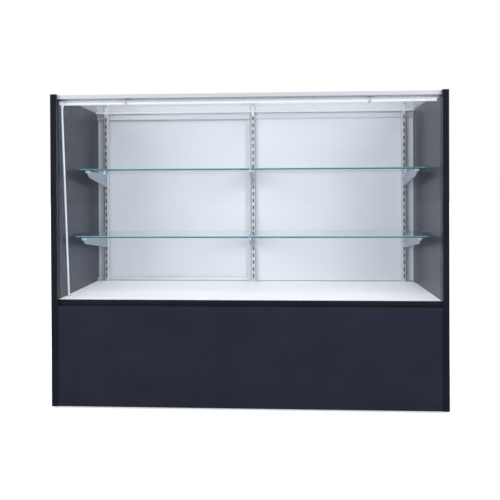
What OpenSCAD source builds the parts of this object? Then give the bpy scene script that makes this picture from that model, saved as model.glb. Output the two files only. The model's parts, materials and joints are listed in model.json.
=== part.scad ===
// Retail display case: dark base and end panels, glass front and top, two rows of glass shelves on
// slotted standards, a light bar behind the front rail and two sliding doors at the rear.
// Millimetres, +Z up, front towards -Y. The origin is on the floor under the middle of the case.

/* [Case] */
// Overall width
case_w = 1219; // [1000:1:1400]
// Overall depth
case_d = 508; // [470:1:600]
// Height of the end panels
panel_h = 970; // [930:1:1100]
// Thickness of the end panels
panel_t = 19; // [17:0.5:25]
// Gap between the end panels and the floor
foot_gap = 5; // [4:0.5:12]

/* [Base] */
// Height of the deck surface above the bottom of the end panels
deck_h = 331; // [280:1:360]
// Thickness of the deck
deck_t = 18; // [16:0.5:22]
// Thickness of the front panel, floor, stretcher and kick rail
board_t = 16; // [15:0.5:19]
// Front panel set back from the front edges of the end panels
front_setback = 3; // [2:0.5:6]
// Deck and boards set back from the rear edges of the end panels
rear_setback = 4; // [2:0.5:6]
// Height of the kick rail under the base floor
plinth_h = 60; // [40:1:90]
// Height of the stretcher under the rear of the deck
stretcher_h = 70; // [50:1:100]

/* [Glazing] */
// Thickness of the front glass
front_glass_t = 6; // [5:0.5:8]
// Thickness of the top glass
top_glass_t = 6; // [5:0.5:8]
// Thickness of the glazing gasket on each face of the front glass
gasket_t = 1; // [0.5:0.1:2]
// Depth of the front glass in the sill rail
glass_seat = 6; // [4:0.5:8]
// Top glass below the top edges of the end panels
glass_drop = 1.5; // [0.5:0.5:4]
// Gap at each end of the top glass and the front glass
glass_end_gap = 0.5; // [0.3:0.1:2]
// Depth of the grooves in the end panels that take the ends of the front glass
glass_groove = 4; // [3:0.5:8]
// Room above the front glass in the top rail
glass_head_gap = 0.5; // [0.5:0.5:1.5]

/* [Rails] */
// Wall thickness of the aluminium rails
rail_wall = 1.5; // [1.2:0.1:2]
// Rails set back from the front edges of the end panels
rail_setback = 12; // [8:0.5:16]
// Height of the front lip of the top rail
rail_lip_h = 12; // [10:0.5:16]
// Height of the leg behind the front glass
rail_leg_h = 4.5; // [4:0.5:6]
// Depth of the ledge under the top glass
rail_ledge_d = 36; // [34:1:45]
// Depth of the rail ends in the end panels
rail_housing = 4; // [2:0.5:8]
// Thickness of the lip of the head track under the top glass
head_lip_t = 4; // [2.5:0.5:5]

/* [Doors] */
// Thickness of the doors
door_t = 6; // [5:0.5:8]
// Clearance on each face of a door in its channel
door_play = 1; // [0.6:0.1:2]
// Overlap of the two doors
door_overlap = 45; // [30:1:80]
// Gap between a closed door and its end panel
door_end_gap = 1; // [0.5:0.5:3]
// Height of the head track
head_track_h = 26.5; // [22:0.5:32]
// Height of the sill track
sill_track_h = 11; // [10:0.5:14]
// Thickness of the base of the sill track
sill_base_t = 2.5; // [2.2:0.1:4]
// Room above the doors for lifting them out of the sill track
door_lift = 9; // [8.5:0.5:11]
// Rear faces of the tracks ahead of the rear edges of the end panels
track_setback = 7.5; // [5:0.5:12]
// Diameter of the finger pulls
pull_d = 34; // [28:1:40]
// Depth of the finger pulls in the doors
pull_depth = 4; // [2.5:0.5:4]

/* [Standards] */
// Width of the slotted standards
standard_w = 18; // [16:0.5:24]
// Depth of the slotted standards
standard_d = 16; // [14:0.5:22]
// Sheet thickness of the standards
standard_t = 1.5; // [1.2:0.1:2]
// Bevel on each front edge of the standards
standard_bevel = 4; // [2:0.5:5]
// Middle of the outer standards from the end panels
standard_inset = 37; // [28:1:60]
// Pitch of the slots
slot_pitch = 25.4; // [24:0.1:30]
// Height of a slot
slot_h = 14; // [12:0.5:15]
// Width of a slot
slot_w = 5; // [3.5:0.1:6]
// Middle of the first slot above the foot of the standard
first_slot = 19; // [19:1:30]
// Thickness of the foot plates
foot_plate_t = 2.5; // [2:0.5:4]
// Width of the foot plates
foot_plate_w = 40; // [34:1:60]

/* [Shelves] */
// Thickness of the shelf glass
shelf_t = 6; // [5:0.5:10]
// Depth of the upper shelves
upper_shelf_d = 254; // [200:1:300]
// Depth of the lower shelves
lower_shelf_d = 305; // [220:1:340]
// Slot that takes the upper hooks of the lower brackets
lower_slot = 6; // [5:1:8]
// Slot that takes the upper hooks of the upper brackets
upper_slot = 15; // [13:1:17]
// Gap between the two panes of a row
pane_gap = 3; // [2.5:0.5:6]
// Gap between a pane and its end panel
pane_end_gap = 13; // [8:1:20]
// Gap between a pane and the standards
pane_rear_gap = 1.5; // [1:0.5:4]

/* [Brackets] */
// Sheet thickness of the brackets
bracket_t = 2.5; // [2:0.1:3]
// Height of a bracket at its rear
bracket_rear_h = 53; // [46:1:60]
// Height of a bracket behind its nose
bracket_front_h = 20; // [16:1:26]
// Length of the sloping nose
bracket_nose = 24; // [16:1:30]
// Top edge of a lower bracket above the middle of its upper hook slot
lower_rise = 7; // [4:0.5:8]
// Top edge of an upper bracket above the middle of its upper hook slot
upper_rise = 3; // [2:0.5:6]
// Bracket nose behind the front edge of its shelf
bracket_short = 4; // [2:0.5:10]
// Thickness of the saddles over the brackets
saddle_t = 1.5; // [1:0.1:3]
// Width of the outer saddles
saddle_w = 10; // [8:0.5:14]
// Width of the saddles under the joint of two panes
centre_saddle_w = 24; // [18:1:30]

/* [Light bar] */
// Length of the light bar with its end caps
lamp_l = 1170; // [900:1:1170]
// Width of the light bar
lamp_w = 12; // [11:0.5:16]
// Height of the light bar's housing
lamp_housing_h = 6; // [5:0.5:10]
// Light bar below the underside of the top glass
lamp_drop = 12; // [11:0.5:18]
// Middle of the light bar behind the front of the rails
lamp_inset = 24; // [23:0.5:27]
// Left end of the light bar from the left end panel
lamp_end_gap = 1; // [1:0.5:6]
// Length of the end caps
lamp_cap_l = 14; // [12:1:20]
// Distance of each clip from the middle of the case
clip_x = 377; // [200:1:420]
// Width of the clips
clip_w = 7; // [6:0.5:14]

/* [Lead] */
// Diameter of the lead from the light bar
lead_d = 6; // [4.5:0.1:7]
// Lead from the left end of the light bar
lead_inset = 7.5; // [7:0.5:9]
// Hole in the deck behind the front edges of the end panels
lead_hole_y = 94; // [86:1:100]
// Slope of the lead from the vertical, in degrees
lead_slope = 5.7; // [5.7:0.1:8]
// Radius of the long bend in the lead
lead_bend_r = 300; // [200:10:400]
// Radius of the bend under the deck
lead_turn_r = 24; // [24:1:30]
// Diameter of the hole in the deck
grommet_hole = 14; // [13:0.5:16]

/* [Feet] */
// Diameter of the levelling feet
foot_d = 18; // [14:0.5:24]
// Diameter of the threaded stems
stem_d = 6; // [5:0.5:8]
// Length of the stems in the end panels
stem_l = 22; // [16:1:30]
// Feet from the front and rear edges of the end panels
foot_inset = 40; // [25:1:80]

/* [Hidden] */
$fn = 48;

// Running clearance between a stem and its insert, on the radius
stem_play = 0.05;
// Clearance of seated round pieces, on the radius
seat_play = 0.1;
// Clearance under the door shoes and between the feet and the end panels
slide_gap = 0.2;

x_in = case_w / 2 - panel_t;
y_front = -case_d / 2;
y_rear = case_d / 2;
z_base = foot_gap;
z_top = foot_gap + panel_h;
z_deck = z_base + deck_h;
z_deck_under = z_deck - deck_t;

// Front glazing, from the face of the rails back to the deck
y_rail = y_front + rail_setback;
y_channel = y_rail + rail_wall;
y_glass = y_channel + gasket_t;
y_glass_back = y_glass + front_glass_t;
y_deck_front = y_glass_back + gasket_t;
z_glass_foot = z_deck - glass_seat;
z_glass_top = z_top - glass_drop;
z_glass_under = z_glass_top - top_glass_t;
z_web_under = z_glass_under - rail_wall;
z_glass_head = z_web_under - glass_head_gap;
z_lip_under = z_glass_top - rail_lip_h;
z_leg_under = z_glass_under - rail_leg_h;

// Base boards
y_panel = y_front + front_setback;
y_panel_back = y_panel + board_t;
y_board_rear = y_rear - rear_setback;
z_floor = z_base + plinth_h;
batten_d = 20;
batten_h = 20;

// Door tracks: three walls with two channels between them
channel_w = door_t + 2 * door_play;
track_d = 3 * rail_wall + 2 * channel_w;
y_track_back = y_rear - track_setback;
y_track = y_track_back - track_d;
y_right_door = y_track + rail_wall + door_play;
y_left_door = y_right_door + door_t + 2 * door_play + rail_wall;
z_head_under = z_glass_under - head_track_h;
z_sill_base = z_deck + sill_base_t;
shoe_h = 2.5;
z_door = z_sill_base + slide_gap + shoe_h;
z_door_top = z_glass_under - rail_wall - door_lift;
door_w = x_in + door_overlap / 2 - door_end_gap;
x_left_door = -x_in + door_end_gap;
x_right_door = x_in - door_end_gap - door_w;
pull_inset = 45;
x_left_pull = x_left_door + pull_inset;
x_right_pull = x_right_door + door_w - pull_inset;
shoe_l = 40;
tongue_l = 30;
shoe_inset = 60;
tongue_h = 6;
tongue_t = 3;
pull_flange = 3;
pull_flange_t = 0.8;
pull_wall = 1;
pull_z = (z_deck + z_glass_under) / 2;

// Slotted standards
y_standard_back = y_track - rail_wall;
y_standard = y_standard_back - standard_d;
z_standard = z_deck + foot_plate_t;
z_standard_top = z_glass_under - head_lip_t;
x_standard = x_in - standard_inset;
standard_x = [-x_standard, 0, x_standard];
slot_top_margin = 16;
slot_count = floor((z_standard_top - z_standard - first_slot - slot_top_margin) / slot_pitch) + 1;
screw_d = 4;
screw_l = 10;
screw_head_d = 7.5;
screw_head_h = 2;
plate_screw_x = (standard_w + foot_plate_w) / 4;
plate_screw_d = 3.4;
plate_screw_l = 12;
plate_head_d = 6.5;
y_plate_screw = y_standard + standard_d / 2;
y_head_lip = y_standard - 1;
plate_tongue_h = 10;
hanger_t = 4;
hanger_head_h = 10;
hanger_boss_h = 11;

// Shelves and brackets
y_pane_rear = y_standard - pane_rear_gap;
x_pane = x_in - pane_end_gap;
z_first_slot = z_standard + first_slot;
z_top_screw = z_first_slot + (slot_count - 2.5) * slot_pitch;
z_lower = z_first_slot + lower_slot * slot_pitch + lower_rise;
z_upper = z_first_slot + upper_slot * slot_pitch + upper_rise;
y_lower = y_pane_rear - lower_shelf_d;
y_upper = y_pane_rear - upper_shelf_d;
saddle_l = 22;
saddle_skirt = 6;
saddle_rib_h = 4;
saddle_rib_t = pane_gap - 1;
rear_saddle_y = 42;
hook_neck = 4.5;
hook_drop = 6;
hook_t = 2.5;
hook_gap = 0.3;
notch_d = 10;

// Light bar
y_lamp = y_rail + lamp_inset;
z_lamp_top = z_glass_under - lamp_drop;
z_lamp_mid = z_lamp_top - lamp_housing_h;
x_lamp = -x_in + lamp_end_gap;
x_lamp_body = x_lamp + lamp_cap_l;
x_lamp_right = x_lamp + lamp_l;
lamp_body_l = lamp_l - 2 * lamp_cap_l;
diffuser_t = 1.2;
board_w = 8;
led_board_t = 1.2;
clip_t = 1.5;
clip_tail = 2;
clip_arm = clip_t + lamp_housing_h + lamp_w / 2 + clip_tail;
clip_stem = 4;
clip_screw_y = 7;
clip_screw_d = 3;
clip_head_d = 5.5;
clip_head_h = 1.6;

// Lead: straight down, a long bend, a slope to the hole in the deck, and a turn into the driver
x_lead = x_lamp + lead_inset;
lead_boss_d = 9;
lead_boss_h = 5;
y_hole = y_front + lead_hole_y;
lead_run = y_hole - y_lamp;
z_lead_top = z_lamp_mid - lamp_w / 2 - lead_boss_h;
z_hole = z_deck - deck_t / 2;
lead_straight = 8;
lead_reach = z_lead_top - lead_straight - z_hole;
lead_side = lead_bend_r - lead_run;
// In a lower case the lead slopes more, so that its straight run stays
lead_tilt = max(lead_slope,
    atan2(lead_reach, lead_side) - acos(lead_bend_r / norm([lead_reach, lead_side])));
lead_slope_l = (lead_run - lead_bend_r * (1 - cos(lead_tilt))) / sin(lead_tilt);
z_lead_slope = z_hole + lead_slope_l * cos(lead_tilt);
z_lead_bend = z_lead_slope + lead_bend_r * sin(lead_tilt);
y_lead_slope = y_lamp + lead_bend_r * (1 - cos(lead_tilt));
lead_tail = 10;
lead_below = deck_t / 2 + lead_tail;
y_lead_turn = y_hole + lead_below * tan(lead_tilt);
z_lead_turn = z_hole - lead_below;
y_lead_flat = y_lead_turn + lead_turn_r * cos(lead_tilt);
z_lead_flat = z_lead_turn - lead_turn_r * (1 - sin(lead_tilt));
lead_flat_l = 8;
lead_bead = 0.4;
grommet_wall = 1.8;
grommet_bore = grommet_hole - 2 * (seat_play + grommet_wall);
grommet_flange_d = 2 * min(grommet_hole / 2 + 2, lamp_end_gap + lead_inset - 0.5);
grommet_flange_t = 1.6;

// Driver under the deck
driver_w = 40;
driver_l = 140;
driver_below = 12;
driver_h = z_deck_under - z_lead_flat + driver_below;
driver_margin = 1.5;
driver_ear = 14;
driver_ear_t = 3;
x_driver = -x_in + driver_margin;
y_driver = y_lead_flat + lead_flat_l;

// Levelling feet
insert_wall = 2;
insert_d = stem_d + 2 * (stem_play + insert_wall);
foot_x = case_w / 2 - panel_t / 2;
foot_y = case_d / 2 - foot_inset;
foot_h = foot_gap - slide_gap;
foot_chamfer = 1;

// Cam joints between the boards and the end panels: place of each bolt, and the side its cam opens to
cam_d = 15;
cam_depth = 12.5;
cam_inset = 24;
bolt_d = 6;
bolt_in_panel = 10;
bolt_play = 0.5;
cam_slot = 1.6;
cam_slot_depth = 2;
DOWN = [0, 0, 0];
BACK = [90, 0, 0];
FORWARD = [-90, 0, 0];
deck_cam_front = 54;
deck_cam_rear = 104;
floor_cam_inset = 64;
front_cam_low = 110;
front_cam_high = 50;
deck_cam_y = [y_front + deck_cam_front, y_rear - deck_cam_rear];
floor_cam_y = [y_front + floor_cam_inset, y_rear - floor_cam_inset];
front_cam_z = [z_base + front_cam_low, z_deck_under - front_cam_high];
deck_cams = [for (y = deck_cam_y) [y, z_deck - deck_t / 2, DOWN, deck_t]];
floor_cams = [for (y = floor_cam_y) [y, z_floor + board_t / 2, DOWN, board_t]];
front_cams = [for (z = front_cam_z) [y_panel + board_t / 2, z, BACK, board_t]];
stretcher_cams = [[y_board_rear - board_t / 2, z_deck_under - stretcher_h / 2, FORWARD, board_t]];
kick_cams = [[y_board_rear - board_t / 2, z_base + plinth_h / 2, FORWARD, board_t]];
all_cams = concat(deck_cams, floor_cams, front_cams, stretcher_cams, kick_cams);

// A block between two corners
module block(low, high) {
    translate(low) cube(high - low);
}

// A rectangle in the YZ section of a rail
module strip(y0, y1, z0, z1) {
    translate([y0, z0]) square([y1 - y0, z1 - z0]);
}

// A YZ section drawn out along X
module span_x(x0, x1) {
    translate([x0, 0, 0]) rotate([90, 0, 90]) linear_extrude(x1 - x0) children();
}

// Left and right copies of something drawn on the right-hand side
module both_sides() {
    for (side = [0, 1]) mirror([side, 0, 0]) children();
}

// Section of the rail that holds the top of the front glass and the front of the top glass
module top_front_section() {
    strip(y_rail, y_channel, z_lip_under, z_glass_top);
    strip(y_rail, y_rail + rail_ledge_d, z_web_under, z_glass_under);
    strip(y_deck_front, y_deck_front + rail_wall, z_leg_under, z_glass_under);
}

// Section of the track that guides the tops of the doors and holds the rear of the top glass,
// with a lip under the glass and a bead along its lower front edge
module head_section() {
    strip(y_head_lip, y_track, z_standard_top, z_glass_under);
    strip(y_track, y_track_back, z_glass_under - rail_wall, z_glass_under);
    for (wall = [0, 1, 2]) {
        y_wall = y_track + wall * (rail_wall + channel_w);
        strip(y_wall, y_wall + rail_wall, z_head_under, z_glass_under);
    }
    strip(y_track_back - rail_wall, y_track_back, z_head_under, z_glass_top);
    translate([y_track, z_head_under + rail_wall]) circle(r = rail_wall);
}

// Section of the track that carries the doors
module sill_section() {
    strip(y_track, y_track_back, z_deck, z_sill_base);
    for (wall = [0, 1, 2]) {
        y_wall = y_track + wall * (rail_wall + channel_w);
        strip(y_wall, y_wall + rail_wall, z_deck, z_deck + sill_track_h);
    }
}

// Bores for the cams and their bolts in the right-hand end of a board
module cam_bores(points) {
    for (point = points) translate([x_in - cam_inset, point[0], point[1]]) {
        rotate(point[2]) translate([0, 0, -point[3] / 2]) cylinder(h = cam_depth, d = cam_d + 2 * seat_play);
        rotate([0, 90, 0]) cylinder(h = cam_inset + 1, d = bolt_d + 2 * bolt_play);
    }
}

// Right-hand end panel with the housings of the rails, the bolt bores and the insert bores
module end_panel() {
    difference() {
        block([x_in, y_front, z_base], [case_w / 2, y_rear, z_top]);
        span_x(x_in - 1, x_in + rail_housing) top_front_section();
        span_x(x_in - 1, x_in + rail_housing) head_section();
        block([x_in - 1, y_glass - glass_end_gap, z_glass_foot - glass_end_gap],
            [x_in + glass_groove, y_glass_back + glass_end_gap, z_glass_under]);
        for (point = all_cams) translate([x_in - 1, point[0], point[1]]) {
            rotate([0, 90, 0]) cylinder(h = bolt_in_panel + 1, d = bolt_d + 2 * seat_play);
        }
        for (y = [-foot_y, foot_y]) translate([foot_x, y, z_base - 1]) {
            cylinder(h = stem_l + 1, d = insert_d + 2 * seat_play);
        }
    }
}

module left_end_panel() {
    color("#2b2b33") mirror([1, 0, 0]) end_panel();
}

module right_end_panel() {
    color("#2b2b33") end_panel();
}

module front_panel() {
    color("#2b2b33") difference() {
        block([-x_in, y_panel, z_base], [x_in, y_panel_back, z_deck_under]);
        both_sides() cam_bores(front_cams);
    }
}

// Deck with the hole for the lead and pilot bores for the screws
module deck() {
    color("#eef0f4") difference() {
        block([-x_in, y_deck_front, z_deck_under], [x_in, y_board_rear, z_deck]);
        both_sides() cam_bores(deck_cams);
        translate([x_lead, y_hole, z_deck_under - 1]) cylinder(h = deck_t + 2, d = grommet_hole);
        plate_screw_places() cylinder(h = plate_screw_l, d = plate_screw_d);
        track_screw_places() cylinder(h = plate_screw_l, d = plate_screw_d);
        driver_screw_places() cylinder(h = plate_screw_l, d = plate_screw_d);
    }
}

module base_floor() {
    color("#2b2b33") difference() {
        block([-x_in, y_panel_back, z_floor], [x_in, y_board_rear, z_floor + board_t]);
        both_sides() cam_bores(floor_cams);
    }
}

// Batten behind the front panel that carries the front of the deck
module deck_batten() {
    color("#2b2b33") block([-x_in, y_panel_back, z_deck_under - batten_h],
        [x_in, y_panel_back + batten_d, z_deck_under]);
}

module rear_stretcher() {
    color("#2b2b33") difference() {
        block([-x_in, y_board_rear - board_t, z_deck_under - stretcher_h],
            [x_in, y_board_rear, z_deck_under]);
        both_sides() cam_bores(stretcher_cams);
    }
}

module kick_rail() {
    color("#2b2b33") difference() {
        block([-x_in, y_board_rear - board_t, z_base], [x_in, y_board_rear, z_floor]);
        both_sides() cam_bores(kick_cams);
    }
}

// Dark rail in front of the deck: its upper ledge carries the front glass
module front_sill_rail() {
    color("#1c1c22") span_x(-x_in, x_in) {
        strip(y_rail, y_channel, z_deck_under, z_deck);
        strip(y_rail, y_deck_front, z_deck_under, z_deck_under + rail_wall);
        strip(y_rail, y_deck_front, z_glass_foot - rail_wall, z_glass_foot);
    }
}

module front_glass() {
    x_glass = x_in + glass_groove - glass_end_gap;
    color("#cfe6e4", 0.3) block([-x_glass, y_glass, z_glass_foot], [x_glass, y_glass_back, z_glass_head]);
}

module front_glass_gaskets() {
    x_glass = x_in - glass_end_gap;
    color("#dfe3e6") span_x(-x_glass, x_glass) {
        strip(y_channel, y_glass, z_glass_foot, z_deck);
        strip(y_glass_back, y_deck_front, z_glass_foot, z_deck);
        strip(y_channel, y_glass, z_lip_under, z_glass_head);
        strip(y_glass_back, y_deck_front, z_leg_under, z_glass_head);
    }
}

module top_front_rail() {
    color("#d9dbe0") difference() {
        span_x(-x_in - rail_housing, x_in + rail_housing) top_front_section();
        clip_screw_places() translate([0, 0, -1]) cylinder(h = rail_wall + 2, d = clip_screw_d);
    }
}

module top_glass() {
    x_glass = x_in - glass_end_gap;
    y_back = y_track_back - rail_wall - glass_end_gap;
    color("#cfe6e4", 0.3) {
        block([-x_glass, y_channel + glass_end_gap, z_glass_under], [x_glass, y_back, z_glass_top]);
    }
}

// Places of the countersunk screws in the lip of the head track, drawn downwards
module hanger_screw_places() {
    for (x = standard_x) translate([x, y_plate_screw, z_glass_under]) rotate([180, 0, 0]) children();
}

module head_track() {
    color("#d9dbe0") difference() {
        span_x(-x_in - rail_housing, x_in + rail_housing) head_section();
        hanger_screw_places() {
            translate([0, 0, -1]) cylinder(h = head_lip_t + 2, d = plate_screw_d);
            countersink();
            translate([0, 0, -1]) cylinder(h = 1, d = 2 * plate_screw_d);
        }
    }
}

// Places of the countersunk screws in the front channel of the sill track, drawn downwards
module track_screw_places() {
    track_screw_inset = 90;
    track_screw_count = 5;
    track_screw_step = 2 * (x_in - track_screw_inset) / (track_screw_count - 1);
    for (i = [0 : track_screw_count - 1]) {
        x = -x_in + track_screw_inset + i * track_screw_step;
        translate([x, y_right_door + door_t / 2, z_sill_base]) rotate([180, 0, 0]) children();
    }
}

// Countersunk head, flush with the base of the track
module countersink() {
    cylinder(h = plate_screw_d / 2, d1 = 2 * plate_screw_d, d2 = plate_screw_d);
}

module sill_track() {
    color("#d9dbe0") difference() {
        span_x(-x_in, x_in) sill_section();
        track_screw_places() {
            cylinder(h = plate_screw_l, d = plate_screw_d);
            countersink();
            translate([0, 0, -1]) cylinder(h = 1, d = 2 * plate_screw_d);
        }
    }
}

module track_screws() {
    color("#b9bcc2") track_screw_places() {
        cylinder(h = plate_screw_l, d = plate_screw_d);
        countersink();
    }
}

// Plan of a standard with bevelled front edges, or of its hollow, drawn up between two heights
module standard_tube(inset, z0, z1) {
    x = standard_w / 2 - inset;
    y0 = y_standard + inset;
    y1 = y_standard_back - inset;
    bevel = standard_bevel - inset * (2 - sqrt(2));
    translate([0, 0, z0]) linear_extrude(z1 - z0) polygon([
        [-x, y1],
        [-x, y0 + bevel],
        [-x + bevel, y0],
        [x - bevel, y0],
        [x, y0 + bevel],
        [x, y1]
    ]);
}

// Slotted standard: a tube with a row of slots down its front
module standard(x) {
    color("#c4c7cd") translate([x, 0, 0]) difference() {
        standard_tube(0, z_standard, z_standard_top);
        standard_tube(standard_t, z_standard - 1, z_standard_top + 1);
        for (i = [0 : slot_count - 1]) {
            z_slot = z_standard + first_slot + i * slot_pitch - slot_h / 2;
            block([-slot_w / 2, y_standard - 1, z_slot],
                [slot_w / 2, y_standard + standard_t + 1, z_slot + slot_h]);
        }
        translate([0, y_standard - 1, z_top_screw]) rotate([-90, 0, 0]) {
            cylinder(h = standard_t + 2, d = screw_d);
        }
    }
}

module left_standard() {
    standard(-x_standard);
}

module centre_standard() {
    standard(0);
}

module right_standard() {
    standard(x_standard);
}

// Places of the two screws in each foot plate, drawn downwards from the top of the plate
module plate_screw_places() {
    for (x = standard_x, side = [-1, 1]) {
        translate([x + side * plate_screw_x, y_plate_screw, z_standard]) rotate([180, 0, 0]) children();
    }
}

// Foot plates on the deck, each with a tongue that fits inside its standard
module standard_foot_plates() {
    color("#c4c7cd") difference() {
        for (x = standard_x) translate([x, 0, 0]) {
            block([-foot_plate_w / 2, y_standard, z_deck], [foot_plate_w / 2, y_standard_back, z_standard]);
            standard_tube(standard_t, z_deck, z_standard + plate_tongue_h);
        }
        plate_screw_places() translate([0, 0, -1]) cylinder(h = plate_screw_l + 1, d = plate_screw_d);
    }
}

// Hangers inside the tops of the standards, screwed up to the lip of the head track. Each has a boss
// for the screw in the face of its standard.
module standard_hangers() {
    y_back = y_standard_back - standard_t;
    x_hanger = standard_w / 2 - standard_t;
    z_boss = z_top_screw - hanger_boss_h / 2;
    color("#c4c7cd") difference() {
        for (x = standard_x) translate([x, 0, 0]) {
            standard_tube(standard_t, z_boss, z_boss + hanger_boss_h);
            standard_tube(standard_t, z_standard_top - hanger_head_h, z_standard_top);
            block([-x_hanger, y_back - hanger_t, z_boss], [x_hanger, y_back, z_standard_top]);
        }
        hanger_screw_places() cylinder(h = plate_screw_l, d = plate_screw_d);
        for (x = standard_x) translate([x, y_standard, z_top_screw]) rotate([-90, 0, 0]) {
            cylinder(h = screw_l, d = screw_d);
        }
    }
}

// Screws in the foot plates, in the faces of the standards and in the lip of the head track
module standard_screws() {
    color("#b9bcc2") {
        hanger_screw_places() {
            cylinder(h = plate_screw_l, d = plate_screw_d);
            countersink();
        }
        plate_screw_places() {
            cylinder(h = plate_screw_l, d = plate_screw_d);
            translate([0, 0, -screw_head_h]) cylinder(h = screw_head_h, d = plate_head_d);
        }
        for (x = standard_x) translate([x, y_standard, z_top_screw]) rotate([-90, 0, 0]) {
            cylinder(h = screw_l, d = screw_d);
            translate([0, 0, -screw_head_h]) cylinder(h = screw_head_h, d = screw_head_d);
        }
    }
}

// Outline of a bracket in YZ under a shelf with the given front edge, with hooks inside its standard
module bracket_section(y_shelf, z_up, rise) {
    y_nose = y_shelf + bracket_short;
    y_heel = y_standard - hook_gap;
    difference() {
        polygon([
            [y_nose, z_up],
            [y_nose, z_up - saddle_skirt],
            [y_nose + bracket_nose, z_up - bracket_front_h],
            [y_heel, z_up - bracket_rear_h],
            [y_heel, z_up]
        ]);
        translate([y_nose + saddle_l + notch_d, z_up]) circle(d = notch_d);
    }
    y_hook = y_standard + standard_t + hook_gap;
    for (hook = [0, 1]) {
        z_seat = z_up - rise - slot_h / 2 - hook * slot_pitch;
        strip(y_heel, y_hook + hook_t, z_seat, z_seat + hook_neck);
        strip(y_hook, y_hook + hook_t, z_seat - hook_drop, z_seat);
    }
}

module lower_bracket(x) {
    color("#dfe2e6") span_x(x - bracket_t / 2, x + bracket_t / 2) {
        bracket_section(y_lower, z_lower, lower_rise);
    }
}

module upper_bracket(x) {
    color("#dfe2e6") span_x(x - bracket_t / 2, x + bracket_t / 2) {
        bracket_section(y_upper, z_upper, upper_rise);
    }
}

module lower_left_bracket() {
    lower_bracket(-x_standard);
}

module lower_centre_bracket() {
    lower_bracket(0);
}

module lower_right_bracket() {
    lower_bracket(x_standard);
}

module upper_left_bracket() {
    upper_bracket(-x_standard);
}

module upper_centre_bracket() {
    upper_bracket(0);
}

module upper_right_bracket() {
    upper_bracket(x_standard);
}

// One saddle astride a bracket; a rib stands between the two panes at the centre
module saddle(x, y, z, width, rib) {
    translate([x, y, z]) {
        difference() {
            block([-saddle_w / 2, 0, -saddle_skirt], [saddle_w / 2, saddle_l, saddle_t]);
            block([-bracket_t / 2, -1, -saddle_skirt - 1], [bracket_t / 2, saddle_l + 1, 0]);
        }
        block([-width / 2, 0, 0], [width / 2, saddle_l, saddle_t]);
        if (rib) block([-saddle_rib_t / 2, 0, 0], [saddle_rib_t / 2, saddle_l, saddle_t + saddle_rib_h]);
    }
}

module saddles(y_shelf, z_up) {
    color("#f4f6f8") for (x = standard_x, y = [y_shelf + bracket_short, y_pane_rear - rear_saddle_y]) {
        saddle(x, y, z_up, x == 0 ? centre_saddle_w : saddle_w, x == 0);
    }
}

module lower_bracket_saddles() {
    saddles(y_lower, z_lower);
}

module upper_bracket_saddles() {
    saddles(y_upper, z_upper);
}

// A right-hand shelf pane
module pane(y_shelf, z_up) {
    z_pane = z_up + saddle_t;
    block([pane_gap / 2, y_shelf, z_pane], [x_pane, y_pane_rear, z_pane + shelf_t]);
}

module lower_left_shelf() {
    color("#a8d5cf", 0.5) mirror([1, 0, 0]) pane(y_lower, z_lower);
}

module lower_right_shelf() {
    color("#a8d5cf", 0.5) pane(y_lower, z_lower);
}

module upper_left_shelf() {
    color("#a8d5cf", 0.5) mirror([1, 0, 0]) pane(y_upper, z_upper);
}

module upper_right_shelf() {
    color("#a8d5cf", 0.5) pane(y_upper, z_upper);
}

// Door panel with notches for its shoes and a recess for its finger pull
module door(x, y, x_pull) {
    color("#e9ebef") difference() {
        block([x, y, z_door], [x + door_w, y + door_t, z_door_top]);
        shoe_tongues(x, y, 1);
        translate([x_pull, y + door_t, pull_z]) rotate([90, 0, 0]) {
            translate([0, 0, -1]) cylinder(h = pull_depth + 1, d = pull_d + 2 * seat_play);
        }
    }
}

// Tongues of the shoes in the lower edge of a door
module shoe_tongues(x, y, overlap) {
    for (x_shoe = [x + shoe_inset, x + door_w - shoe_inset]) {
        block([x_shoe - tongue_l / 2, y + (door_t - tongue_t) / 2, z_door - overlap],
            [x_shoe + tongue_l / 2, y + (door_t + tongue_t) / 2, z_door + tongue_h]);
    }
}

// Two low-friction shoes under a door
module door_shoes(x, y) {
    color("#f2f2f2") {
        shoe_tongues(x, y, shoe_h / 2);
        for (x_shoe = [x + shoe_inset, x + door_w - shoe_inset]) {
            block([x_shoe - shoe_l / 2, y, z_door - shoe_h], [x_shoe + shoe_l / 2, y + door_t, z_door]);
        }
    }
}

// Finger pull: a shallow cup with a flange on the back of a door
module door_pull(x_pull, y) {
    color("#dcdee2") translate([x_pull, y + door_t, pull_z]) rotate([90, 0, 0]) difference() {
        union() {
            cylinder(h = pull_depth, d = pull_d);
            translate([0, 0, -pull_flange_t]) cylinder(h = pull_flange_t, d = pull_d + 2 * pull_flange);
        }
        translate([0, 0, -pull_flange_t - 1]) {
            cylinder(h = pull_depth + pull_flange_t + 1 - pull_wall, d = pull_d - 2 * pull_wall);
        }
    }
}

module left_door() {
    door(x_left_door, y_left_door, x_left_pull);
}

module left_door_pull() {
    door_pull(x_left_pull, y_left_door);
}

module left_door_shoes() {
    door_shoes(x_left_door, y_left_door);
}

module right_door() {
    door(x_right_door, y_right_door, x_right_pull);
}

module right_door_pull() {
    door_pull(x_right_pull, y_right_door);
}

module right_door_shoes() {
    door_shoes(x_right_door, y_right_door);
}

// Outline of the light bar: a square housing over a round diffuser
module lamp_outline() {
    strip(y_lamp - lamp_w / 2, y_lamp + lamp_w / 2, z_lamp_mid, z_lamp_top);
    intersection() {
        translate([y_lamp, z_lamp_mid]) circle(d = lamp_w);
        strip(y_lamp - lamp_w, y_lamp + lamp_w, z_lamp_mid - lamp_w, z_lamp_mid);
    }
}

// Recess in the housing that holds the board
module board_recess() {
    strip(y_lamp - board_w / 2, y_lamp + board_w / 2, z_lamp_mid, z_lamp_mid + 2 * led_board_t);
}

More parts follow.
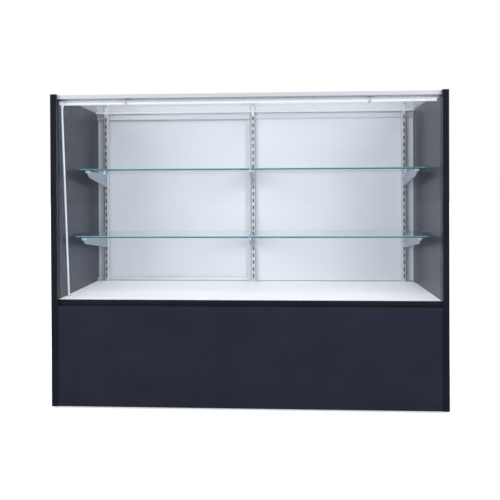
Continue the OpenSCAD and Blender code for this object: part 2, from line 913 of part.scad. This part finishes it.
module light_housing() {
    color("#e6e8ec") span_x(x_lamp_body, x_lamp_body + lamp_body_l) difference() {
        strip(y_lamp - lamp_w / 2, y_lamp + lamp_w / 2, z_lamp_mid, z_lamp_top);
        board_recess();
    }
}

module light_board() {
    color("#f5f5e8") span_x(x_lamp_body, x_lamp_body + lamp_body_l) intersection() {
        board_recess();
        translate([0, led_board_t]) board_recess();
    }
}

module light_diffuser() {
    color("white") span_x(x_lamp_body, x_lamp_body + lamp_body_l) difference() {
        intersection() {
            translate([y_lamp, z_lamp_mid]) circle(d = lamp_w);
            strip(y_lamp - lamp_w, y_lamp + lamp_w, z_lamp_mid - lamp_w, z_lamp_mid);
        }
        translate([y_lamp, z_lamp_mid]) circle(d = lamp_w - 2 * diffuser_t);
    }
}

// Left end cap with the boss that the lead comes out of
module light_left_cap() {
    color("#f0f1f4") {
        span_x(x_lamp, x_lamp_body) lamp_outline();
        translate([x_lead, y_lamp, z_lead_top]) cylinder(h = lead_boss_h + lamp_w / 4, d = lead_boss_d);
    }
}

module light_right_cap() {
    color("#f0f1f4") span_x(x_lamp_right - lamp_cap_l, x_lamp_right) lamp_outline();
}

// Places of the clip screws under the ledge of the top rail, drawn upwards
module clip_screw_places() {
    for (x = [-clip_x, clip_x]) translate([x, y_lamp + clip_screw_y, z_web_under]) children();
}

// Clips that hang from the ledge of the top rail and hold the light bar
module light_clips() {
    y_low = y_lamp - lamp_w / 2;
    y_high = y_lamp + lamp_w / 2;
    y_clip_back = y_lamp + clip_screw_y + clip_stem;
    z_over = z_lamp_top + clip_t;
    color("#e3e6ea") difference() {
        for (x = [-clip_x, clip_x]) span_x(x - clip_w / 2, x + clip_w / 2) {
            strip(y_low - clip_t, y_high + clip_t, z_lamp_top, z_over);
            for (y = [y_low - clip_t, y_high]) strip(y, y + clip_t, z_over - clip_arm, z_over);
            strip(y_lamp - clip_stem / 2, y_lamp + clip_stem / 2, z_over, z_web_under);
            strip(y_lamp - clip_stem / 2, y_clip_back, z_web_under - clip_t, z_web_under);
        }
        clip_screw_places() translate([0, 0, -clip_t - 1]) cylinder(h = clip_t + 2, d = clip_screw_d);
    }
}

module light_clip_screws() {
    color("#b9bcc2") clip_screw_places() translate([0, 0, -clip_t]) {
        cylinder(h = clip_t + rail_wall, d = clip_screw_d);
        translate([0, 0, -clip_head_h]) cylinder(h = clip_head_h, d = clip_head_d);
    }
}

// A bend of the lead in the YZ plane
module lead_bend(y, z, radius, start, sweep) {
    translate([x_lead, y, z]) rotate([90, 0, 90]) rotate([0, 0, start]) {
        rotate_extrude(angle = sweep) translate([radius, 0]) circle(d = lead_d);
    }
}

// A slight bead where two runs of the lead meet
module lead_bead(y, z) {
    translate([x_lead, y, z]) sphere(d = lead_d + lead_bead);
}

module light_lead() {
    color("white") {
        translate([x_lead, y_lamp, z_lead_bend]) cylinder(h = z_lead_top - z_lead_bend, d = lead_d);
        lead_bead(y_lamp, z_lead_bend);
        lead_bend(y_lamp + lead_bend_r, z_lead_bend, lead_bend_r, 180, lead_tilt);
        lead_bead(y_lead_slope, z_lead_slope);
        translate([x_lead, y_lead_turn, z_lead_turn]) rotate([lead_tilt, 0, 0]) {
            cylinder(h = lead_slope_l + lead_below / cos(lead_tilt), d = lead_d);
        }
        lead_bead(y_lead_turn, z_lead_turn);
        lead_bend(y_lead_flat, z_lead_flat + lead_turn_r, lead_turn_r, 180 + lead_tilt, 90 - lead_tilt);
        lead_bead(y_lead_flat, z_lead_flat);
        translate([x_lead, y_lead_flat, z_lead_flat]) rotate([-90, 0, 0]) {
            cylinder(h = lead_flat_l, d = lead_d);
        }
    }
}

module deck_grommet() {
    color("#eceef2") translate([x_lead, y_hole, z_deck]) difference() {
        union() {
            translate([0, 0, -deck_t]) cylinder(h = deck_t, d = grommet_hole - 2 * seat_play);
            cylinder(h = grommet_flange_t, d = grommet_flange_d);
        }
        translate([0, 0, -deck_t - 1]) cylinder(h = deck_t + grommet_flange_t + 2, d = grommet_bore);
    }
}

// Places of the driver's screws under the deck, drawn upwards
module driver_screw_places() {
    for (y = [y_driver - driver_ear / 2, y_driver + driver_l + driver_ear / 2]) {
        translate([x_driver + 0.7 * driver_w, y, z_deck_under - driver_ear_t]) children();
    }
}

// Driver for the light bar, with an ear at each end and a blank cable entry at the rear
module light_driver() {
    entry_d = 14;
    entry_l = 8;
    color("#f0f0f0") {
        difference() {
            union() {
                block([x_driver, y_driver, z_deck_under - driver_h],
                    [x_driver + driver_w, y_driver + driver_l, z_deck_under]);
                block([x_driver + driver_w / 2, y_driver - driver_ear, z_deck_under - driver_ear_t],
                    [x_driver + driver_w, y_driver + driver_l + driver_ear, z_deck_under]);
            }
            driver_screw_places() translate([0, 0, -1]) cylinder(h = plate_screw_l, d = plate_screw_d);
        }
        translate([x_driver + driver_w / 2, y_driver + driver_l - 1, z_lead_flat]) {
            rotate([-90, 0, 0]) cylinder(h = entry_l + 1, d = entry_d);
        }
    }
}

module driver_screws() {
    color("#b9bcc2") driver_screw_places() {
        cylinder(h = plate_screw_l, d = plate_screw_d);
        translate([0, 0, -screw_head_h]) cylinder(h = screw_head_h, d = plate_head_d);
    }
}

// Levelling foot: a chamfered disc on a threaded stem
module foot(x, y) {
    color("#26262b") translate([x, y, 0]) {
        rotate_extrude() polygon([
            [0, 0],
            [foot_d / 2 - foot_chamfer, 0],
            [foot_d / 2, foot_chamfer],
            [foot_d / 2, foot_h],
            [0, foot_h]
        ]);
        cylinder(h = z_base + stem_l - 1, d = stem_d);
    }
}

module front_left_foot() {
    foot(-foot_x, -foot_y);
}

module front_right_foot() {
    foot(foot_x, -foot_y);
}

module rear_left_foot() {
    foot(-foot_x, foot_y);
}

module rear_right_foot() {
    foot(foot_x, foot_y);
}

module foot_inserts() {
    color("#b9bcc2") for (x = [-foot_x, foot_x], y = [-foot_y, foot_y]) {
        translate([x, y, z_base]) difference() {
            cylinder(h = stem_l, d = insert_d);
            translate([0, 0, -1]) cylinder(h = stem_l + 2, d = stem_d + 2 * stem_play);
        }
    }
}

module cam_bolts() {
    color("#b9bcc2") both_sides() for (point = all_cams) {
        translate([x_in - cam_inset, point[0], point[1]]) rotate([0, 90, 0]) {
            cylinder(h = cam_inset + bolt_in_panel, d = bolt_d);
        }
    }
}

// Cam locks, each open on the side of its bolt and slotted for a driver
module cam_locks() {
    color("#b9bcc2") both_sides() for (point = all_cams) {
        translate([x_in - cam_inset, point[0], point[1]]) difference() {
            rotate(point[2]) translate([0, 0, -point[3] / 2]) difference() {
                cylinder(h = cam_depth, d = cam_d);
                for (turn = [0, 90]) rotate([0, 0, turn]) {
                    translate([-cam_d / 3, -cam_slot / 2, -1]) {
                        cube([2 * cam_d / 3, cam_slot, cam_slot_depth + 1]);
                    }
                }
            }
            rotate([0, 90, 0]) cylinder(h = cam_d, d = bolt_d + 2 * bolt_play);
        }
    }
}

left_end_panel();
right_end_panel();
front_panel();
deck();
base_floor();
deck_batten();
rear_stretcher();
kick_rail();
front_sill_rail();
front_glass();
front_glass_gaskets();
top_front_rail();
top_glass();
head_track();
sill_track();
track_screws();
left_standard();
centre_standard();
right_standard();
standard_foot_plates();
standard_hangers();
standard_screws();
lower_left_bracket();
lower_centre_bracket();
lower_right_bracket();
upper_left_bracket();
upper_centre_bracket();
upper_right_bracket();
lower_bracket_saddles();
upper_bracket_saddles();
lower_left_shelf();
lower_right_shelf();
upper_left_shelf();
upper_right_shelf();
left_door();
left_door_pull();
left_door_shoes();
right_door();
right_door_pull();
right_door_shoes();
light_housing();
light_board();
light_diffuser();
light_left_cap();
light_right_cap();
light_clips();
light_clip_screws();
light_lead();
deck_grommet();
light_driver();
driver_screws();
front_left_foot();
front_right_foot();
rear_left_foot();
rear_right_foot();
foot_inserts();
cam_bolts();
cam_locks();
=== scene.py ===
"""Looks of the glass display case: studio, camera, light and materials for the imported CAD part."""

import json
from itertools import product

import bpy
from mathutils import Matrix, Vector


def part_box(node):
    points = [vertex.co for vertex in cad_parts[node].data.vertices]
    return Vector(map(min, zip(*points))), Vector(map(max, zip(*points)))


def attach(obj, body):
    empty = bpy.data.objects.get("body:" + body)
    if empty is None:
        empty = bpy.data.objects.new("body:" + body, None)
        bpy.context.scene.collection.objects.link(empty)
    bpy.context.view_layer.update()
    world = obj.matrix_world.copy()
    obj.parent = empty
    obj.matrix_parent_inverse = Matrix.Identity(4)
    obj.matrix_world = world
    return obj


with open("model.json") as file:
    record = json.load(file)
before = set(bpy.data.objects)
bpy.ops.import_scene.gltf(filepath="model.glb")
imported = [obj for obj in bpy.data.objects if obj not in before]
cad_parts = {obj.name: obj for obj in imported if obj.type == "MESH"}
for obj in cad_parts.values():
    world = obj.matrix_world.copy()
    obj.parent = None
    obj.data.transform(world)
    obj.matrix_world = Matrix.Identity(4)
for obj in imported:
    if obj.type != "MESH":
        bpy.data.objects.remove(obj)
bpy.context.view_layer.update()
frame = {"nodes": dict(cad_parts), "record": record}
nodes = frame["nodes"]
scene = bpy.context.scene

# Stretch of a noise pattern that makes the grain of drawn metal run along an axis
ALONG_X = (0.4, 22, 22)
ALONG_Z = (22, 22, 0.4)
EVEN_GRAIN = (6, 6, 6)


class Look:
    """A material with one Principled shader and helpers for procedural detail."""

    def __init__(self, name, **sockets):
        self.mat = bpy.data.materials.new(name)
        self.mat.use_nodes = True
        self.tree = self.mat.node_tree
        self.shader = self.tree.nodes["Principled BSDF"]
        coords = self.tree.nodes.new("ShaderNodeTexCoord")
        self.place = coords.outputs["Object"]
        self.span = coords.outputs["Generated"]
        for key, value in sockets.items():
            self.shader.inputs[key.replace("_", " ")].default_value = value

    def noise(self, scale, stretch=(1, 1, 1), detail=4.0, rough=0.55):
        mapping = self.tree.nodes.new("ShaderNodeMapping")
        mapping.inputs["Scale"].default_value = stretch
        self.tree.links.new(self.place, mapping.inputs["Vector"])
        tex = self.tree.nodes.new("ShaderNodeTexNoise")
        tex.inputs["Scale"].default_value = scale
        tex.inputs["Detail"].default_value = detail
        tex.inputs["Roughness"].default_value = rough
        self.tree.links.new(mapping.outputs["Vector"], tex.inputs["Vector"])
        return tex.outputs["Fac"]

    def height(self):
        """Place across the node, from 0 at its foot to 1 at its top."""
        split = self.tree.nodes.new("ShaderNodeSeparateXYZ")
        self.tree.links.new(self.span, split.inputs[0])
        return split.outputs["Z"]

    def vary(self, socket, fac, low, high, span=(0.3, 0.7)):
        ramp = self.tree.nodes.new("ShaderNodeValToRGB")
        ends = ramp.color_ramp.elements
        for end, at, value in zip(ends, span, (low, high)):
            end.position = at
            end.color = (*value, 1) if isinstance(value, tuple) else (value, value, value, 1)
        self.tree.links.new(fac, ramp.inputs["Fac"])
        self.tree.links.new(ramp.outputs["Color"], self.shader.inputs[socket])

    def bump(self, fac, strength, depth):
        node = self.tree.nodes.new("ShaderNodeBump")
        node.inputs["Strength"].default_value = strength
        node.inputs["Distance"].default_value = depth
        self.tree.links.new(fac, node.inputs["Height"])
        self.tree.links.new(node.outputs["Normal"], self.shader.inputs["Normal"])


def board(name, dark, light, rough, shine=0.5, grain=0.12):
    look = Look(name, Specular_IOR_Level=shine)
    look.vary("Base Color", look.noise(9, detail=6), dark, light)
    look.vary("Roughness", look.noise(160), *rough)
    look.bump(look.noise(900, detail=2), grain, 0.0003)
    return look.mat


def metal(name, dark, light, rough, stretch, metallic=1.0):
    look = Look(name, Metallic=metallic)
    grain = look.noise(40, stretch)
    look.vary("Base Color", grain, dark, light)
    look.vary("Roughness", grain, *rough)
    look.bump(grain, 0.08, 0.0002)
    return look.mat


def plastic(name, dark, light, rough, mottle=60, **sockets):
    look = Look(name, **sockets)
    look.vary("Base Color", look.noise(mottle), dark, light)
    look.vary("Roughness", look.noise(240), *rough)
    look.bump(look.noise(1200, detail=2), 0.1, 0.0002)
    return look.mat


def any_ray(tree, first, *others):
    """1 for a ray of any of the kinds that are named, and 0 for the rest."""
    rays = tree.nodes.new("ShaderNodeLightPath")
    found = rays.outputs[first]
    for kind in others:
        either = tree.nodes.new("ShaderNodeMath")
        either.operation = "MAXIMUM"
        tree.links.new(found, either.inputs[0])
        tree.links.new(rays.outputs[kind], either.inputs[1])
        found = either.outputs[0]
    return found


def let_light_through(look, tint):
    """Lamps and the studio's soft light pass a pane without a dark shadow."""
    tree = look.tree
    clear = tree.nodes.new("ShaderNodeBsdfTransparent")
    clear.inputs["Color"].default_value = tint
    mix = tree.nodes.new("ShaderNodeMixShader")
    tree.links.new(any_ray(tree, "Is Shadow Ray", "Is Diffuse Ray"), mix.inputs[0])
    tree.links.new(look.shader.outputs[0], mix.inputs[1])
    tree.links.new(clear.outputs[0], mix.inputs[2])
    tree.links.new(mix.outputs[0], tree.nodes["Material Output"].inputs["Surface"])


def glass(name, tint_low, tint_high, shade, **sockets):
    look = Look(name, Transmission_Weight=1.0, IOR=1.5, **sockets)
    look.vary("Base Color", look.noise(2.5), tint_low, tint_high)
    look.vary("Roughness", look.noise(5), 0.0, 0.004)
    let_light_through(look, (*shade, 1))
    return look.mat


# Share of a pane's thickness over which its cut edge turns from dark to the painted highlight along its top
EDGE_HIGHLIGHT_SPAN = (0.62, 0.84)
# Share of a track's height over which its front turns from the painted shade at its foot to the pale lip
SHADED_FOOT_SPAN = (0.3, 0.45)


def glass_edge(name, dark, light):
    """Green cut edge of a pane: dark below, with a painted highlight along its top."""
    look = Look(name, IOR=1.5, Transmission_Weight=0.45)
    look.vary("Base Color", look.height(), dark, light, EDGE_HIGHLIGHT_SPAN)
    look.vary("Roughness", look.noise(90), 0.08, 0.22)
    return look.mat


def track_front_with_painted_shade(name, foot, lip):
    """Upright front of a track: a pale lip above a foot darkened with painted shade, for the contact shadow
    on the deck.
    """
    look = Look(name, Metallic=0.2)
    look.vary("Base Color", look.height(), foot, lip, SHADED_FOOT_SPAN)
    look.vary("Roughness", look.noise(40, ALONG_X), 0.36, 0.46)
    return look.mat


# Boards
dark_board = board("dark_board", (0.011, 0.012, 0.021), (0.015, 0.016, 0.027), (0.42, 0.54), 0.06)
white_board = board("white_board", (0.83, 0.80, 0.79), (0.87, 0.84, 0.83), (0.5, 0.58), 0.03)
white_door = board("white_door", (0.693, 0.683, 0.713), (0.718, 0.708, 0.738), (0.42, 0.5))
dark_rail = board("dark_rail", (0.003, 0.003, 0.005), (0.006, 0.006, 0.009), (0.3, 0.4), 0.09)
satin_wall = board("satin_wall", (0.014, 0.016, 0.026), (0.018, 0.020, 0.031), (0.24, 0.28), 0.095, 0.01)
dark_edge = board("dark_edge", (0.004, 0.004, 0.008), (0.007, 0.007, 0.012), (0.36, 0.46), 0.06)

# Metals
silver_rail = metal("silver_rail", (0.55, 0.56, 0.58), (0.62, 0.63, 0.65), (0.34, 0.44), ALONG_X, 0.7)
front_rail = metal("front_rail", (0.42, 0.42, 0.425), (0.475, 0.475, 0.48), (0.46, 0.56), ALONG_X, 0.3)
lamp_metal = metal("lamp_metal", (0.46, 0.47, 0.485), (0.52, 0.53, 0.545), (0.48, 0.58), ALONG_X, 0.2)
shaded_rail = metal("shaded_rail", (0.7, 0.75, 0.8), (0.78, 0.83, 0.88), (0.4, 0.5), ALONG_X, 0.3)
# Painted shade: the dark foot of this ramp stands in for the contact shadow where the sill track meets the
# deck
shaded_track_face = track_front_with_painted_shade("shaded_track_face", (0.34, 0.35, 0.37), (0.74, 0.74, 0.75))
bright_rail = metal("bright_rail", (0.7, 0.7, 0.71), (0.76, 0.76, 0.77), (0.36, 0.46), ALONG_X, 0.2)
zinc_steel = metal("zinc_steel", (0.55, 0.56, 0.58), (0.68, 0.69, 0.7), (0.25, 0.4), EVEN_GRAIN)
standard_steel = metal("standard_steel", (0.51, 0.53, 0.56), (0.6, 0.62, 0.65), (0.36, 0.46), ALONG_Z, 0.7)
# Near-black metal: painted shade inside the standards' tubes; the standard hangers take it too
dark_hanger_and_tube_shade = metal("dark_hanger_and_tube_shade", (0.06, 0.065, 0.075), (0.1, 0.105, 0.115), (0.6, 0.7),
                        ALONG_Z, 0.3)

# Plastics, and the painted steel of the brackets
bracket_steel = plastic("bracket_steel", (0.22, 0.255, 0.3), (0.28, 0.315, 0.36), (0.35, 0.45))
# Painted highlights: the clear saddles' colour is mottled between dark blue and near-white patches that
# stand in for the glints of clear plastic
clear_plastic = plastic("clear_plastic", (0.42, 0.52, 0.76), (0.96, 0.98, 1.0), (0.1, 0.25), mottle=110,
                        Transmission_Weight=0.1)
white_plastic = plastic("white_plastic", (0.78, 0.79, 0.81), (0.84, 0.85, 0.87), (0.35, 0.5))
nylon = plastic("shoe_nylon", (0.74, 0.74, 0.72), (0.8, 0.8, 0.78), (0.4, 0.55))
pull_plastic = plastic("pull_plastic", (0.6, 0.61, 0.63), (0.66, 0.67, 0.69), (0.35, 0.5))
foot_plastic = plastic("foot_plastic", (0.015, 0.015, 0.018), (0.025, 0.025, 0.028), (0.45, 0.6))
clip_plastic = plastic("clip_plastic", (0.34, 0.35, 0.38), (0.42, 0.43, 0.46), (0.3, 0.42))
# Painted shade: the grommet is greyed to stand in for the ring of shade round the lead's foot on the deck
grommet_plastic_and_shade = plastic("grommet_plastic_and_shade", (0.4, 0.41, 0.43), (0.48, 0.49, 0.51), (0.35, 0.5))
lead_sheath = plastic("lead_sheath", (0.82, 0.82, 0.83), (0.88, 0.88, 0.89), (0.3, 0.42))
gasket = plastic("gasket", (0.6, 0.63, 0.66), (0.7, 0.73, 0.76), (0.2, 0.35), Transmission_Weight=0.3)
circuit_board = plastic("light_board", (0.74, 0.74, 0.7), (0.8, 0.8, 0.76), (0.4, 0.5))
diffuser = plastic("light_diffuser", (0.62, 0.63, 0.65), (0.68, 0.69, 0.71), (0.3, 0.4),
                   Emission_Color=(0.92, 0.97, 1, 1), Emission_Strength=0.14)

# Glass
clear_glass = glass("clear_glass", (0.945, 0.965, 0.983), (0.95, 0.97, 0.988), (0.975, 0.985, 0.985),
                    Specular_Tint=(0.92, 0.99, 1.15, 1))
front_pane = glass("front_pane", (0.975, 0.985, 0.985), (0.98, 0.99, 0.99), (0.975, 0.985, 0.985),
                   Specular_Tint=(0.3, 0.33, 0.39, 1))
shelf_glass = glass("shelf_glass", (0.955, 0.98, 0.978), (0.965, 0.985, 0.983), (0.91, 0.93, 0.93))
# Painted highlight: the pale end of this ramp lights the top of each pane's cut edge
edge_glass = glass_edge("edge_glass", (0.004, 0.128, 0.145), (0.3, 0.72, 0.74))

# The look of each material slot
LOOKS = {
    "dark_board": dark_board, "white_board": white_board, "white_door": white_door, "dark_rail": dark_rail,
    "clear_glass": clear_glass, "shelf_glass": shelf_glass, "gasket": gasket, "silver_rail": silver_rail,
    "zinc_steel": zinc_steel, "standard_steel": standard_steel, "bracket_steel": bracket_steel,
    "clear_plastic": clear_plastic, "pull_plastic": pull_plastic, "shoe_nylon": nylon,
    "light_metal": lamp_metal, "light_board": circuit_board, "light_diffuser": diffuser,
    "white_plastic": white_plastic, "lead_sheath": lead_sheath, "foot_plastic": foot_plastic,
}
# Nodes that look other than the rest of their slot
NODE_LOOKS = {
    "front_glass": front_pane, "top_front_rail": front_rail, "sill_track": bright_rail,
    "standard_hangers": dark_hanger_and_tube_shade, "light_clips": clip_plastic, "deck_grommet": grommet_plastic_and_shade,
}
for part in frame["record"]["subparts"]:
    mesh = nodes[part["node"]].data
    mesh.materials.clear()
    mesh.materials.append(NODE_LOOKS.get(part["node"], LOOKS[part["material_slot"]]))

# A face looks along an axis where that part of its normal is above this
FACING = 0.5

# Cut edges of the level panes show the green of the glass
for name in ("top_glass", "lower_left_shelf", "lower_right_shelf", "upper_left_shelf", "upper_right_shelf"):
    mesh = nodes[name].data
    mesh.materials.append(edge_glass)
    for poly in mesh.polygons:
        poly.material_index = 0 if abs(poly.normal.z) > FACING else 1

# Upright front faces of the sill track: a pale lip over a foot darkened with painted shade, for the contact
# shadow on the deck
track_mesh = nodes["sill_track"].data
track_mesh.materials.append(shaded_track_face)
for poly in track_mesh.polygons:
    poly.material_index = 1 if poly.normal.y < -FACING else 0

# Front edges of the end panels have a darker edge band, and their inner faces a satin sheen
EDGE_BAND_T = 0.0005
for name, inward in (("left_end_panel", 1), ("right_end_panel", -1)):
    mesh = nodes[name].data
    mesh.materials.append(dark_edge)
    mesh.materials.append(satin_wall)
    front = min(v.co.y for v in mesh.vertices) + EDGE_BAND_T
    for poly in mesh.polygons:
        if poly.center.y < front:
            poly.material_index = 1
        elif poly.normal.x * inward > FACING:
            poly.material_index = 2

# Painted shade inside the slotted standards: faces that look towards the axis of the tube take a near-black
# metal in place of the shadow within the tube
for name in ("left_standard", "centre_standard", "right_standard"):
    mesh = nodes[name].data
    mesh.materials.append(dark_hanger_and_tube_shade)
    xs = [v.co.x for v in mesh.vertices]
    ys = [v.co.y for v in mesh.vertices]
    axis = Vector(((min(xs) + max(xs)) / 2, (min(ys) + max(ys)) / 2))
    for poly in mesh.polygons:
        poly.material_index = 1 if poly.normal.xy.dot(poly.center.xy - axis) < 0 else 0

# Inner leg of the front rail, turned down behind the lamp at the rear edge of the rail's ledge
LEG_T = 0.0012
LEG_ABOVE_LAMP = 0.001
GLASS_PLAY = 0.0001
rail_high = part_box("top_front_rail")[1]
pane_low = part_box("top_glass")[0]
lamp_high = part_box("light_housing")[1]
leg_low = Vector((pane_low[0], rail_high[1], lamp_high[2] + LEG_ABOVE_LAMP))
leg_high = Vector((-pane_low[0], rail_high[1] + LEG_T, pane_low[2] - GLASS_PLAY))
leg_mesh = bpy.data.meshes.new("rail_inner_leg")
leg_corners = list(product(*zip(leg_low, leg_high)))
leg_mesh.from_pydata(
    leg_corners, [], [(0, 1, 3, 2), (4, 6, 7, 5), (0, 4, 5, 1), (2, 3, 7, 6), (0, 2, 6, 4), (1, 5, 7, 3)])
leg_mesh.materials.append(shaded_rail)
inner_leg = bpy.data.objects.new("rail_inner_leg", leg_mesh)
scene.collection.objects.link(inner_leg)
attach(inner_leg, "case")

# Rays that show the white background: to the camera, in a mirror or through glass
BACKGROUND_RAYS = ("Is Camera Ray", "Is Glossy Ray", "Is Transmission Ray")

# Studio: a white background, and an even cool white as soft light
world = bpy.data.worlds.new("studio")
scene.world = world
world.use_nodes = True
tree = world.node_tree
soft = tree.nodes["Background"]
soft.inputs["Color"].default_value = (0.89, 0.96, 1.08, 1)
soft.inputs["Strength"].default_value = 1.0
white = tree.nodes.new("ShaderNodeBackground")
white.inputs["Color"].default_value = (1, 1, 1, 1)
shown = tree.nodes.new("ShaderNodeMixShader")
tree.links.new(any_ray(tree, *BACKGROUND_RAYS), shown.inputs[0])
tree.links.new(soft.outputs[0], shown.inputs[1])
tree.links.new(white.outputs[0], shown.inputs[2])
tree.links.new(shown.outputs[0], tree.nodes["World Output"].inputs["Surface"])

# Floor: white as the background, keeping the shadow of the case
FLOOR_HALF = 40.0
FLOOR_GLOW = 0.5
floor_mesh = bpy.data.meshes.new("floor")
corners = [(x, y, 0.0) for x, y in ((-1, -1), (1, -1), (1, 1), (-1, 1))]
floor_mesh.from_pydata([Vector(c) * FLOOR_HALF for c in corners], [], [(0, 1, 2, 3)])
floor = bpy.data.objects.new("floor", floor_mesh)
scene.collection.objects.link(floor)
floor_mat = bpy.data.materials.new("floor")
floor_mat.use_nodes = True
tree = floor_mat.node_tree
paint = tree.nodes["Principled BSDF"]
paint.inputs["Base Color"].default_value = (0.85, 0.85, 0.86, 1)
paint.inputs["Roughness"].default_value = 0.8
paint.inputs["Emission Color"].default_value = (1, 1, 1, 1)
glow = tree.nodes.new("ShaderNodeMapRange")
glow.inputs["To Max"].default_value = FLOOR_GLOW
tree.links.new(any_ray(tree, *BACKGROUND_RAYS), glow.inputs["Value"])
tree.links.new(glow.outputs["Result"], paint.inputs["Emission Strength"])
floor_mesh.materials.append(floor_mat)


def soft_light(name, place, target, size, power):
    lamp = bpy.data.lights.new(name, "AREA")
    lamp.shape = "RECTANGLE"
    lamp.size, lamp.size_y = size
    lamp.energy = power
    body = bpy.data.objects.new(name, lamp)
    body.location = place
    body.rotation_mode = "QUATERNION"
    body.rotation_quaternion = (Vector(target) - Vector(place)).to_track_quat("-Z", "Y")
    scene.collection.objects.link(body)


soft_light("key", (-3.5, -4.6, 1.6), (0, 0, 0.6), (2.4, 2.4), 84)
soft_light("fill", (3.6, -4.6, 1.6), (0, 0, 0.6), (2.4, 2.4), 102)
soft_light("top", (0, -0.15, 3.2), (0, -0.15, 0.5), (0.8, 0.8), 36)

# Camera fitted to the edges of the photographed case
RIGHT = Vector((0.99817479, 0.06021554, -0.00460115))
UP = Vector((0.00416207, 0.00741521, 0.99996385))
AHEAD = Vector((-0.06024748, 0.99815785, -0.00715106))
FOCAL_PX = 697.56254
CENTRE_PX = (242.34847, 196.78321)
IMAGE_PX = 500
SENSOR_MM = 36.0
CAMERA_AT = (0.11548022, -2.38041723, 0.66976777)
cam_data = bpy.data.cameras.new("camera")
cam_data.sensor_width = SENSOR_MM
cam_data.lens = FOCAL_PX / IMAGE_PX * SENSOR_MM
cam_data.shift_x = (IMAGE_PX / 2 - CENTRE_PX[0]) / IMAGE_PX
cam_data.shift_y = (CENTRE_PX[1] - IMAGE_PX / 2) / IMAGE_PX
camera = bpy.data.objects.new("camera", cam_data)
turn = Matrix((RIGHT, UP, -AHEAD)).transposed().to_4x4()
camera.matrix_world = Matrix.Translation(CAMERA_AT) @ turn
scene.collection.objects.link(camera)
scene.camera = camera

scene.view_settings.view_transform = "Standard"
